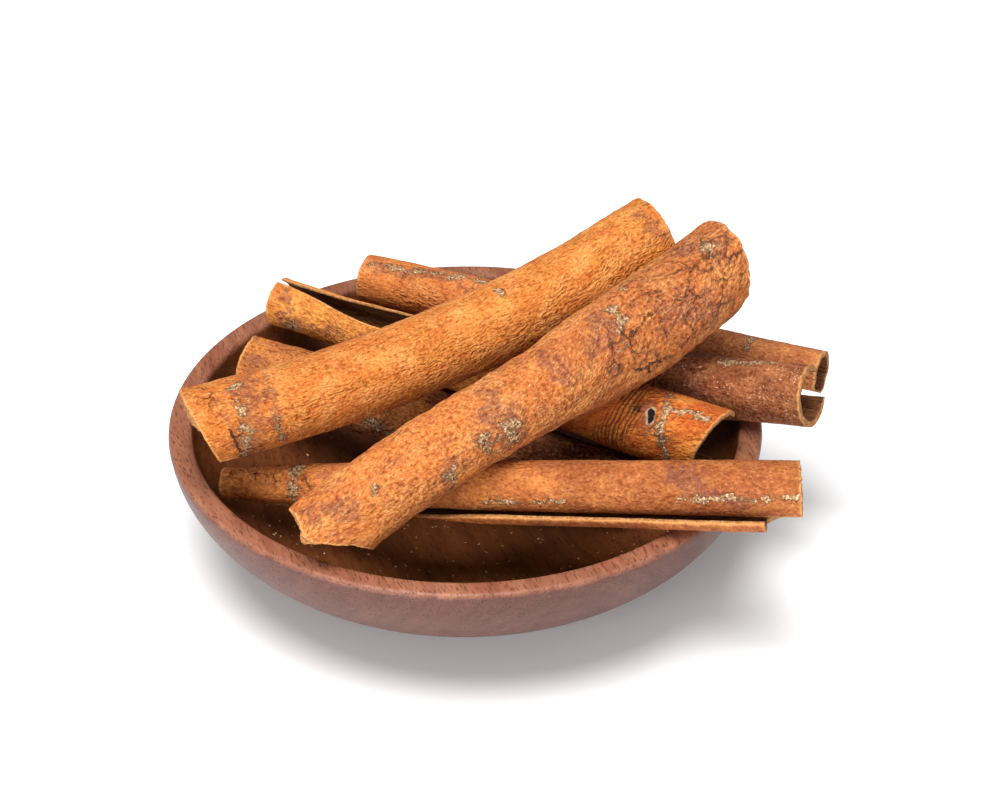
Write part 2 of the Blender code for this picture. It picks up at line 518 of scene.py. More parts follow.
def slide_along(graph, here, given):
    """How far each point slides along the quill."""
    near_left = 1.0 - here.along
    lean = lean_of(graph, here, given["Left Lean"], near_left)
    lean = lean + lean_of(graph, here, given["Right Lean"], here.along)
    tip = graph.parts(given["Left Tip"])
    toward = graph.math('MAXIMUM', graph.math('COSINE', here.angle - tip[1]), 0.0)
    toward = toward ** TIP_SHARPNESS
    pointed = toward * tip[0] * near_left ** 5.0
    torn = graph.span(here.across, 1 - LIFT_BAND, 1 - TORN_BAND, smooth=True)
    back = torn * given["Drawn Back"] * here.along ** 3.0
    place = graph.xyz(here.from_lip / BREAK_SIZE, here.along * 3.0, given["Seed"])
    near_end = abs(here.from_middle * 2.0) ** 14.0
    rough = swing(graph.noise(place, 1.0, 4.0, 0.7), given["Ragged"]) * near_end
    return lean - pointed - back + rough


print("breaks are", BREAK_SIZE / MM, "mm wide")


# %% [markdown]
# Now the tree itself: it makes the grid, stores on it what the materials will ask for, and moves
# every point to its place on the roll.

# %% The tree that rolls a sheet of bark
def build_roll_tree():
    tree = new_group("roll a sheet of bark", 'GeometryNodeTree', ROLL_INPUTS, (("Quill", SHAPE, None),))
    tree.is_modifier = True
    graph = Graph(tree)
    given = graph.outputs(graph.node("NodeGroupInput"))
    curve = graph.add("GeometryNodeMeshToCurve", {"Mesh": given["Guide"]})
    mesh = graph.add("GeometryNodeMeshGrid", {"Size X": 1.0, "Size Y": 1.0,
                                              "Vertices X": given["Across Count"],
                                              "Vertices Y": given["Along Count"]})
    here = read_sheet(graph, given, curve)
    for label in ("across", "along", "angle"):
        stored = {"Geometry": mesh, "Name": label, "Value": getattr(here, label)}
        mesh = graph.add("GeometryNodeStoreNamedAttribute", stored, data_type='FLOAT', domain='POINT')
    stored = {"Geometry": mesh, "Name": SHEET_MAP, "Value": graph.xyz(here.from_lip, here.from_start)}
    mesh = graph.add("GeometryNodeStoreNamedAttribute", stored, data_type='FLOAT2', domain='CORNER')

    middle = graph.add("GeometryNodeSampleCurve", {"Curves": curve, "Factor": here.along},
                       out="Position", mode='FACTOR', use_all_curves=True)
    side = graph.vector('ADD', graph.scaled(given["Up"], here.up),
                        graph.scaled(given["Front"], here.front))
    spot = graph.vector('ADD', middle, graph.scaled(side, reach_out(graph, here, given)))
    spot = graph.vector('ADD', spot, graph.scaled(given["Axis"], slide_along(graph, here, given)))
    rolled = graph.add("GeometryNodeSetPosition", {"Geometry": mesh, "Position": spot})
    facing = graph.add("GeometryNodeFlipFaces", {"Mesh": rolled, "Selection": given["Winds Back"]})
    smooth = graph.add("GeometryNodeSetShadeSmooth", {"Geometry": facing})
    real = graph.add("GeometryNodeRealizeInstances", {"Geometry": smooth})
    barked = graph.add("GeometryNodeSetMaterial", {"Geometry": real, "Material": given["Bark"]})
    graph.plug(graph.node("NodeGroupOutput").inputs[0], barked)
    return tree


ROLL_TREE = build_roll_tree()
print(f"{ROLL_TREE.name}: {len(ROLL_TREE.nodes)} nodes")


# %% [markdown]
# Bark has three faces: the rough skin outside, the smoother inside, and the paler cut or broken
# edge. What they share is kept in shader groups that are fed with the map of the flat sheet, so
# fibres follow the bark along and round instead of cutting through it. Inside the groups all
# lengths are in millimetres, because that is the scale at which bark is easy to think about.

# %% Colours and small tools for shaders
def web(code):
    """A colour written as on the web, as the linear numbers that a renderer needs."""
    parts = [int(code[i:i + 2], 16) / 255 for i in (0, 2, 4)]
    return (*(p / 12.92 if p <= 0.04045 else ((p + 0.055) / 1.055) ** 2.4 for p in parts), 1.0)


def new_material(name):
    material = bpy.data.materials.new(name)
    material.use_nodes = True
    tree = material.node_tree
    return material, Graph(tree), tree.nodes["Principled BSDF"]


def shade_group(name, inputs, outputs):
    """A shader group with its helper, its inputs as values, and the sockets of its outputs."""
    tree = new_group(name, 'ShaderNodeTree', inputs, outputs)
    graph = Graph(tree)
    given = graph.outputs(graph.node("NodeGroupInput"))
    return tree, graph, given, graph.node("NodeGroupOutput").inputs


def use_group(graph, tree, values):
    made = graph.node("ShaderNodeGroup", node_tree=tree)
    for label, value in values.items():
        graph.plug(made.inputs[label], value)
    return graph.outputs(made)


def attribute(graph, label):
    return graph.add("ShaderNodeAttribute", out="Fac", attribute_name=label)


def bumped(graph, shader, height):
    """Turn a height in millimetres into the small slopes that catch the light."""
    normal = graph.add("ShaderNodeBump", {"Height": height, "Strength": 1.0, "Distance": MM})
    graph.plug(shader.inputs["Normal"], normal)


# %% [markdown]
# The fibres are noise that is stretched along the sheet, with a slow drift that makes them wander
# sideways. Two sizes of fibre and a fine grit add up to one relief. Its low parts are the grooves
# between the fibres, which the skin darkens with painted shade, and its high parts get a painted
# highlight.

# %% Fibres of bark
def build_fibres():
    tree, graph, given, out = shade_group("bark fibres", (
        ("Map", VECTOR, None), ("Seed", NUMBER, 0.0), ("Wander", NUMBER, 2.6), ("Width", NUMBER, 0.7),
        ("Length", NUMBER, 2.6), ("Grit", NUMBER, 0.25)), (("Relief", NUMBER, None),))
    flat = graph.parts(graph.scaled(given["Map"], 1 / MM))
    around, along, seed = flat[0], flat[1], given["Seed"]
    drift = graph.noise(graph.xyz(around / 3.4, along / 4.0, seed))
    drift = (drift - 0.5) * given["Wander"]
    wavy = (around + drift) / given["Width"]
    reach = along / given["Length"]
    coarse = graph.noise(graph.xyz(wavy, reach, seed), 0.8, 1.0, 0.5)
    folds = graph.span(abs(coarse - 0.5), 0.0, 0.13, 0.34, 0.60, smooth=True)
    fine = graph.noise(graph.xyz(wavy, reach, seed + 17.0), 1.7, 1.5, 0.5)
    grit = graph.noise(graph.xyz(around, along, seed), 1.25, 1.5, 0.5)
    relief = folds * 0.45 + fine * 0.55
    graph.plug(out["Relief"], relief + (grit - relief) * given["Grit"])
    return tree


FIBRES = build_fibres()
print(f"{FIBRES.name}: {len(FIBRES.nodes)} nodes")


# %% [markdown]
# Some marks have their own place on a sheet: crusts of lichen, stains, and cracks. They come in
# as masks that fade out over a few millimetres. Noise is added before the mask is cut off, so a
# smooth mask turns into a ragged patch.

# %% Patches with ragged edges
PATCH_LEVEL = 0.55


def build_ragged():
    tree, graph, given, out = shade_group("ragged patch", (
        ("Map", VECTOR, None), ("Mask", NUMBER, 0.0), ("Grain", NUMBER, 1.0), ("Spread", NUMBER, 1.4),
        ("Edge", NUMBER, 0.08), ("Seed", NUMBER, 0.0)), (("Patch", NUMBER, None),))
    flat = graph.parts(graph.scaled(given["Map"], 1 / MM))
    place = graph.xyz(flat[0] / given["Grain"], flat[1] / given["Grain"], given["Seed"])
    lumps = graph.noise(place, 0.45, 1.0, 0.5) - 0.5
    crumbs = graph.noise(place, 1.0, 4.0, 0.7) - 0.5
    mask = given["Mask"] + (lumps + crumbs) * given["Spread"]
    patch = graph.span(mask, PATCH_LEVEL - given["Edge"], PATCH_LEVEL + given["Edge"], smooth=True)
    some = graph.math('GREATER_THAN', given["Mask"], 0.001)
    graph.plug(out["Patch"], patch * some)
    return tree


RAGGED = build_ragged()
print(f"{RAGGED.name}: {len(RAGGED.nodes)} nodes")


# %% [markdown]
# Sound bark is coloured in layers. It goes over from one colour at the left end to another at
# the right, takes up darker mottling and sunny patches, gets painted shade in its grooves and a
# painted highlight on its crests, and carries dark flecks and pale dust. Every layer starts as a
# cloud of noise whose size is given in millimetres, so one small function makes them all.

# %% The colour of sound bark
MARK_KINDS = ("crust", "stain", "slit", "craze", "ridge", "hole")
SKIN_INPUTS = (
    ("Map", VECTOR, None), ("Share", NUMBER, 0.5), ("Border", NUMBER, 5.0), ("Seed", NUMBER, 0.0),
    ("Left Colour", COLOUR, web("dd9043")), ("Right Colour", COLOUR, web("dd9043")),
    ("Mottle Colour", COLOUR, web("b8642c")), ("Light Colour", COLOUR, web("f0b470")),
    ("Mottle", NUMBER, 0.5), ("Wander", NUMBER, 2.6), ("Grit", NUMBER, 0.3), ("Groove", NUMBER, 1.0),
    ("Flecks", NUMBER, 0.4), ("Dust", NUMBER, 0.2), *((kind.title(), NUMBER, 0.0) for kind in MARK_KINDS),
)
STAIN, GROOVE_SHADE, SPECKLE = web("78483a"), web("b07a50"), web("b48a66")
FLECK, DUST, WORN_EDGE = web("70371c"), web("e6c8a8"), web("d9995a")


def cloud_maker(graph, flat, seed):
    """A function that makes clouds of noise on the sheet, each of a size in millimetres."""
    def cloud(size, detail=3.0, rough=0.6, stretch=1.0, shift=0.0):
        place = graph.xyz(flat[0] / size, flat[1] / (size * stretch), seed + shift)
        return graph.noise(place, 1.0, detail, rough)
    return cloud


def grown_colour(graph, given, cloud):
    half_way = given["Share"] + cloud(9.0) - 0.5
    half_way = graph.span(half_way, 0.3, 0.7, smooth=True)
    colour = graph.mix(half_way, given["Left Colour"], given["Right Colour"])
    mottled = graph.span(cloud(3.6, 5.0, 0.68, 1.4, 3.0), 0.40, 0.68)
    colour = graph.mix(mottled * given["Mottle"], colour, given["Mottle Colour"])
    sunny = graph.span(cloud(4.2, 5.0, 0.65, 1.6, 8.0), 0.46, 0.70, 0.0, 0.55)
    return graph.mix(sunny, colour, given["Light Colour"])


def stained(graph, given, cloud, colour):
    stain = use_group(graph, RAGGED, {"Map": given["Map"], "Mask": given["Stain"], "Grain": 1.3,
                                      "Spread": 1.9, "Edge": 0.26, "Seed": given["Seed"]})["Patch"]
    stain = stain * graph.span(cloud(0.8, 4.0, 0.7, 1.3, 14.0), 0.3, 0.62, 0.15, 0.8)
    return graph.mix(stain, colour, STAIN)


def groove_shade_and_crest_highlight(graph, given, relief, colour):
    """Painted shade between the fibres, and a painted highlight on top of them."""
    depth = graph.math('MINIMUM', given["Groove"], 1.0)
    painted_groove_shade = graph.span(relief, 0.36, 0.48, 0.65, 0.0, smooth=True) * depth
    colour = graph.mix(painted_groove_shade, colour, graph.mix(1.0, colour, GROOVE_SHADE, 'MULTIPLY'))
    # A painted highlight on the crests of the fibres.
    crest = graph.span(relief, 0.53, 0.64, 0.0, 0.45) * depth
    return graph.mix(crest, colour, given["Light Colour"])


def speckled(graph, given, cloud, colour):
    speckle = graph.span(cloud(0.38, 2.0, 0.6, 1.4, 27.0), 0.40, 0.60, 0.5, 0.0)
    colour = graph.mix(speckle, colour, graph.mix(1.0, colour, SPECKLE, 'MULTIPLY'))
    fleck = graph.span(cloud(0.62, 3.0, 0.6, 1.5, 21.0), 0.60, 0.68, 0.0, 0.75)
    colour = graph.mix(fleck * given["Flecks"], colour, FLECK)
    dust = graph.span(cloud(0.42, 3.0, 0.7, 1.2, 33.0), 0.60, 0.70)
    dusty = graph.span(cloud(4.5, 2.0, 0.5, 1.3, 90.0), 0.42, 0.58)
    return graph.mix(dust * dusty * given["Dust"], colour, DUST)


def worn(graph, given, cloud, colour):
    """Rubbed paler within half a millimetre of the sheet's edge."""
    border = given["Border"] + (cloud(0.9) - 0.5) * 0.9
    return graph.mix(graph.span(border, 0.12, 0.5, 0.6, 0.0), colour, WORN_EDGE)


print("the skin takes", len(SKIN_INPUTS), "inputs")


# %% [markdown]
# Some bark is marked. Lichen left grey scaly crusts. Drying opened a net of fine cracks, which
# are the borders between the cells of a Voronoi pattern, and a few long splits. Where the bark
# creased, rings run across it whose troughs are darkened as painted shade. One small knot pit has
# a pale lip, and its middle is painted dark as the shade of a hole.

# %% Crusts, cracks, rings and the hole
SLIT, RING_SHADE, HOLE_LIP = web("1c0d08"), web("5a2710"), web("b3987c")
CRUST_DARK, CRUST_GREY, CRUST_PALE = web("3d2619"), web("8f6e4e"), web("d3b48c")
CRUST_HEIGHT = 0.434
RING_PITCH = 0.85
CRACK_BEND = 3.6
COARSE_CRACKS, FINE_CRACKS = 0.26, 0.62
CRACK_WIDTH = 0.060
FINE_CRACK_SHARE = 0.45


def crusted(graph, given, cloud, colour):
    """The colour with lichen on it, and how far the lichen raises the bark."""
    crust = use_group(graph, RAGGED, {"Map": given["Map"], "Mask": given["Crust"], "Grain": 0.8,
                                      "Spread": 2.1, "Seed": given["Seed"] + 40.0})["Patch"]
    scale = cloud(0.5, 3.0, 0.65, 0.8, 50.0)
    lichen = graph.mix(graph.span(scale, 0.36, 0.47), CRUST_DARK, CRUST_GREY)
    lichen = graph.mix(graph.span(scale, 0.52, 0.64), lichen, CRUST_PALE)
    return graph.mix(crust * 0.9, colour, lichen), crust * CRUST_HEIGHT


def crack_mask(graph, given, cloud, flat):
    """The net of fine cracks and the long splits together."""
    place = graph.xyz(flat[0], flat[1], given["Seed"])
    bend = graph.add("ShaderNodeTexNoise", {
        "Vector": place, "Scale": 0.55, "Detail": 4.0, "Roughness": 0.6}, out="Color")
    bend = graph.scaled(graph.vector('SUBTRACT', bend, (0.5, 0.5, 0.5)), CRACK_BEND)
    cells = graph.vector('ADD', place, bend)
    coarse, fine = (graph.span(
        graph.add("ShaderNodeTexVoronoi", {"Vector": cells, "Scale": scale}, out="Distance",
                  feature='DISTANCE_TO_EDGE', voronoi_dimensions='2D'),
        CRACK_WIDTH * 0.3, CRACK_WIDTH, 1.0, 0.0) for scale in (COARSE_CRACKS, FINE_CRACKS))
    crazed = graph.math('MAXIMUM', coarse, fine * FINE_CRACK_SHARE)
    broken = graph.span(cloud(3.0, 2.0, 0.5, 1.0, 60.0), 0.38, 0.52)
    crazed = crazed * broken * given["Craze"]
    fray = (cloud(0.9, 4.0, 0.7) - 0.5) * 1.1
    split = graph.span(given["Slit"] + fray, 0.68, 0.85, smooth=True)
    split = split * graph.math('GREATER_THAN', given["Slit"], 0.001)
    return graph.math('MAXIMUM', crazed, split)


def ring_trough_shade(graph, given, cloud, flat):
    waver = (cloud(4.0, 3.0, 0.6, 0.7, 70.0) - 0.5) * 1.8
    wave = graph.math('SINE', (flat[1] + waver) * (2 * math.pi / RING_PITCH))
    # The troughs of the rings, where the surface also sinks, are darkened as painted shade.
    return graph.span(wave, -1.0, 0.3, 1.0, 0.0, smooth=True) * graph.span(given["Ridge"], 0.1, 0.6)


def holed(graph, given, cloud, colour):
    depth = given["Hole"] + (cloud(1.2) - 0.5) * 0.3
    lip = graph.span(depth, 0.12, 0.3) * graph.math('GREATER_THAN', given["Hole"], 0.001)
    colour = graph.mix(lip * 0.85, colour, HOLE_LIP)
    # The middle of the knot pit is painted dark as the shade of a hole.
    return graph.mix(graph.span(depth, 0.42, 0.52), colour, SLIT)


print("crack cells:", COARSE_CRACKS, "and", FINE_CRACKS, "per mm")


# %% [markdown]
# The layers are put on in this order: colour and stains, fibres with painted shade in their grooves
# and a painted highlight on their crests, specks, lichen, creases with painted shade in their
# troughs, cracks. The same relief and marks also raise and sink the surface.

# %% The skin of bark
RING_DEPTH, CRACK_DEPTH = 0.3, 0.35


def build_skin():
    tree, graph, given, out = shade_group("bark skin", SKIN_INPUTS, (
        ("Colour", COLOUR, None), ("Roughness", NUMBER, None), ("Height", NUMBER, None)))
    flat = graph.parts(graph.scaled(given["Map"], 1 / MM))
    cloud = cloud_maker(graph, flat, given["Seed"])
    relief = use_group(graph, FIBRES, {
        "Map": given["Map"], "Seed": given["Seed"], "Wander": given["Wander"], "Width": 0.8,
        "Length": 2.2, "Grit": given["Grit"]})["Relief"]
    colour = stained(graph, given, cloud, grown_colour(graph, given, cloud))
    # Painted shade darkens the grooves between the fibres and a painted highlight lightens their crests.
    colour = speckled(graph, given, cloud, groove_shade_and_crest_highlight(graph, given, relief, colour))
    colour, crust = crusted(graph, given, cloud, colour)
    ring = ring_trough_shade(graph, given, cloud, flat)
    crack = crack_mask(graph, given, cloud, flat)
    # Painted shade in the troughs of the crease rings and in the middle of the knot pit.
    colour = holed(graph, given, cloud, graph.mix(ring * 0.75, colour, RING_SHADE))
    colour = worn(graph, given, cloud, graph.mix(crack * 0.85, colour, SLIT))

    rough = graph.span(cloud(6.0, 2.0, 0.5, 1.6, 80.0), 0.35, 0.65, 0.6, 2.0)
    height = (relief - 0.5) * rough * given["Groove"] + crust
    graph.plug(out["Colour"], colour)
    graph.plug(out["Height"], height - crack * CRACK_DEPTH - ring * RING_DEPTH)
    graph.plug(out["Roughness"], graph.span(relief, 0.4, 0.65, 0.92, 0.72))
    return tree


SKIN = build_skin()
print(f"{SKIN.name}: {len(SKIN.nodes)} nodes")


# %% [markdown]
# Each sheet keeps its own colours. The first one grew smooth and dried golden, others are rougher,
# darker or dustier, and the one that split is yellow at one end and deep orange at the other. The
# front one's lighter left end is partly painted light, and the knobby one's dark right end is partly
# painted shadow of the quill that lies over it.

# %% The looks of each sheet
def look(left, right, light, mottled, mottle, groove, flecks, dust, grit, wander=2.6):
    return {"Left Colour": web(left), "Right Colour": web(right), "Light Colour": web(light),
            "Mottle Colour": web(mottled), "Mottle": mottle, "Groove": groove, "Flecks": flecks,
            "Dust": dust, "Grit": grit, "Wander": wander}


LOOKS = {
    "quill_top_back": look("c37631", "c77d36", "e9ac63", "b5602a", 0.75, 0.95, 0.2, 0.05, 0.3,
                           wander=3.0),
    "quill_top_front": look("c97838", "b96d37", "dea25e", "93502c", 0.75, 0.85, 0.6, 0.35, 0.7),
    # The left colour is lightened in part as painted light on this quill's left end.
    "quill_front": look("d2803f", "99552a", "d08c4a", "86492a", 0.7, 0.7, 0.5, 0.2, 0.5),
    "quill_far_back": look("c97737", "ab693f", "e29d5c", "a25a32", 0.6, 0.7, 0.4, 0.2, 0.4),
    "quill_right": look("854926", "8a4e2b", "bb8152", "64361e", 0.7, 0.9, 0.6, 0.8, 0.6),
    "quill_split": look("c9823e", "bb5d1f", "eea94e", "a34e1c", 0.7, 0.8, 0.3, 0.08, 0.35),
    # The right and mottle colours are darkened in part as painted shadow of quill_top_front lying over
    # this half.
    "quill_knobby": look("cb7e3c", "653418", "b57440", "4c2816", 0.7, 1.1, 0.7, 0.4, 0.6),
}
print("looks for", len(LOOKS), "sheets")


# %% [markdown]
# A material puts the groups to use. The skin reads its marks and its place on the sheet from the
# mesh, so one group serves every sheet. The inner side is smoother, redder and streaked along.
# The cut or broken edge is pale, with fine layers and darker crumbs in it. The slopes of the
# fine relief are left to bump, because they are far smaller than the mesh.

# %% Skin, inside and cut edge
INSIDE_DARK, INSIDE_LIGHT = web("42200f"), web("86522b")
CUT_DARK, CUT_MIDDLE, CUT_PALE = web("7c4722"), web("a9703c"), web("d39d66")
INSIDE_SEED = 90


def finished(shader, colour, roughness, gloss):
    """Plug or set the colour, the roughness and the strength of the mirror-like part."""
    shader_inputs = (("Base Color", colour), ("Roughness", roughness), ("Specular IOR Level", gloss))
    for label, value in shader_inputs:
        Graph(shader.id_data).plug(shader.inputs[label], value)


def border_distance(graph, length, width):
    """Millimetres from here to the nearest edge of the sheet."""
    reach = []
    for label, size in (("along", length), ("across", width)):
        share = attribute(graph, label)
        nearest = graph.math('MINIMUM', share, 1.0 - share)
        reach.append(nearest * (size / MM))
    return graph.math('MINIMUM', *reach)


def sheet_map(graph):
    return graph.add("ShaderNodeUVMap", uv_map=SHEET_MAP)


def make_skin(name, seed, length, width):
    material, graph, shader = new_material(name + "_skin")
    values = {"Map": sheet_map(graph), "Share": attribute(graph, "along"), "Seed": float(seed),
              "Border": border_distance(graph, length, width), **LOOKS[name]}
    for kind in MARK_KINDS:
        values[kind.title()] = attribute(graph, kind)
    bark = use_group(graph, SKIN, values)
    finished(shader, bark["Colour"], bark["Roughness"], 0.22)
    bumped(graph, shader, bark["Height"])
    return material


def make_inside(name, seed):
    material, graph, shader = new_material(name + "_inside")
    relief = use_group(graph, FIBRES, {"Map": sheet_map(graph), "Seed": float(seed) + INSIDE_SEED,
                                       "Wander": 0.8, "Width": 0.5, "Length": 6.0})["Relief"]
    finished(shader, graph.mix(graph.span(relief, 0.38, 0.62), INSIDE_DARK, INSIDE_LIGHT), 0.75, 0.25)
    bumped(graph, shader, relief * 0.5)
    return material


def make_cut(name, seed):
    material, graph, shader = new_material(name + "_cut")
    place = graph.add("ShaderNodeTexCoord", out="Object")
    place = graph.vector('ADD', graph.scaled(place, 1 / MM), (seed, 0.0, 0.0))
    fine = graph.noise(place, 4.5, 3.0, 0.65)
    colour = graph.mix(graph.span(graph.noise(place, 1.1, 3.0, 0.6), 0.4, 0.65), CUT_MIDDLE, CUT_PALE)
    finished(shader, graph.mix(graph.span(fine, 0.36, 0.5, 0.75, 0.0), colour, CUT_DARK), 0.9, 0.2)
    bumped(graph, shader, fine * 0.45)
    return material


print("every sheet gets a skin, an inside and a cut edge")


# %% [markdown]
# To be rolled, a quill needs its guide: a row of points down its middle that carries the radius
# and the winding. The modifier's inputs are set by each socket's identifier, which is what the
# modifier knows them by.

# %% Guides and inputs for rolling
def guide_points(name):
    made, wound = MEASURED[name], HABITS[name]
    count = len(made["points"])
    mesh = bpy.data.meshes.new(name + "_guide")
    mesh.from_pydata([tuple(p) for p in made["points"]], [(i, i + 1) for i in range(count - 1)], [])
    values = {label: np.array([keyed(wound[label], share) for share in np.linspace(0, 1, count)])
              for label in ("lip", "turns", "lift", "curl")}
    values["lip"] = np.radians(values["lip"])
    values["radius"] = made["radii"] + wound["wind"] / 2
    for label, numbers in values.items():
        mesh.attributes.new(label, 'FLOAT', 'POINT').data.foreach_set("value", numbers.astype(np.float32))
    return mesh


def set_input(modifier, label, value):
    socket = next(item for item in modifier.node_group.interface.items_tree
                  if item.item_type == 'SOCKET' and item.in_out == 'INPUT' and item.name == label)
    modifier[socket.identifier] = value


GRAIN_STEP = 0.45 * MM
NO_KNOT = ((0.0, 0.0), (1.0, 1.0, 0.0))


def sheet_width(name):
    turns = max(abs(value) for _, value in HABITS[name]["turns"])
    return 2 * math.pi * turns * MEASURED[name]["radii"].mean()


def roll_inputs(name, bark, seed):
    made, wound = MEASURED[name], HABITS[name]
    relief = wound["relief"]
    tip_reach, tip_angle = relief.get("tip", (0.0, 0.0))
    ridge_start, ridge_end = relief.get("ridge_span", (0.5, 0.8))
    (knot_share, knot_degrees), knot_size = relief.get("knot", NO_KNOT)
    knot_angle = math.radians(knot_degrees - keyed(wound["lip"], knot_share))
    knot_radius = made["radii"][round(knot_share * (GUIDE_POINTS - 1))]
    return {
        "Across Count": int(sheet_width(name) / GRAIN_STEP),
        "Along Count": int(made["length"] / GRAIN_STEP),
        "Axis": made["axis"], "Up": made["up"], "Front": made["front"], "Length": made["length"],
        "Left Lean": (*made["left_lean"], 0.0), "Right Lean": (*made["right_lean"], 0.0),
        "Left Tip": (tip_reach * MM, math.radians(tip_angle), 0.0),
        "Wind": wound["wind"], "Drawn Back": wound["drawn_back"],
        "Knot Place": (knot_angle * knot_radius, knot_share * made["length"], 0.0),
        "Knot Size": tuple(size * MM for size in knot_size),
        "Ridge Start": ridge_start, "Ridge End": ridge_end, "Ridge Depth": relief.get("ridges", 0.0) * MM,
        "Wrinkle Depth": relief["wrinkles"] * MM, "Lump Height": relief.get("lumps", 0.15) * MM,
        "Dent Share": relief["knobs"], "Dent Size": relief.get("dent_size", 12) * MM,
        "Ragged": relief["ragged"] * MM, "Seed": float(seed),
        "Winds Back": wound["turns"][0][1] < 0, "Bark": bark,
    }


# %% [markdown]
# The rolled sheet is given its thickness by Solidify, which puts the copies in a known order:
# first the skin, then the inner side, then the edges between them. So the three materials are
# handed out by counting, and the inner points can be drawn closer where the bark thins out.

# %% Roll a quill
THIN_BAND = 2.2
THINNEST = 0.5


def read_points(mesh, label):
    values = np.empty(len(mesh.vertices), np.float32)
    mesh.attributes[label].data.foreach_get("value", values)
    return values


def plain_mesh(thing):
    """Replace a thing's mesh by what its modifiers make, and take the modifiers off."""
    depsgraph = bpy.context.evaluated_depsgraph_get()
    mesh = bpy.data.meshes.new_from_object(thing.evaluated_get(depsgraph))
    thing.modifiers.clear()
    thing.data = mesh
    return mesh


def thin_long_edges(solid, width, bark):
    """Bark thins out toward a long edge, so the inner side comes closer to the outer one there."""
    count = len(solid.vertices) // 2
    places = np.empty(6 * count)
    solid.vertices.foreach_get("co", places)
    outer, inner = places.reshape(2, count, 3)
    across = read_points(solid, "across")[:count]
    from_edge = np.minimum(across, 1 - across) * width / (THIN_BAND * bark)
    keep = THINNEST + (1 - THINNEST) * np.clip(from_edge, 0, 1)
    inner[:] = outer + (inner - outer) * keep[:, None]
    solid.vertices.foreach_set("co", places)


def make_quill(name, bark, inside, cut, seed):
    quill = bpy.data.objects.new(name + "_bark", guide_points(name))
    bpy.context.scene.collection.objects.link(quill)
    roll = quill.modifiers.new("roll", 'NODES')
    roll.node_group = ROLL_TREE
    inputs = roll_inputs(name, bark, seed)
    for label, value in inputs.items():
        set_input(roll, label, value)
    thick = quill.modifiers.new("thickness", 'SOLIDIFY')
    thick.thickness = HABITS[name]["bark"]
    thick.offset = -1.0
    solid = plain_mesh(quill)
    solid.materials.clear()
    for material in (bark, inside, cut):
        solid.materials.append(material)
    sheet_faces = (inputs["Across Count"] - 1) * (inputs["Along Count"] - 1)
    faces = np.full(len(solid.polygons), 2, np.int32)
    faces[:sheet_faces] = 0
    faces[sheet_faces:2 * sheet_faces] = 1
    solid.polygons.foreach_set("material_index", faces)
    thin_long_edges(solid, sheet_width(name), HABITS[name]["bark"])
    print(f"{name}: {np.bincount(faces).tolist()} faces of skin, inside and edge")
    return quill


# %% [markdown]
# Marks are drawn on the sheets as short strokes. A stroke goes from one place on the bark to
# another, each given as a share of the length and an angle round the quill, and has a width in
# millimetres. Its mask is full in the middle and fades to nothing at that distance. Every mask is
# stored on the mesh, where the material can read it.

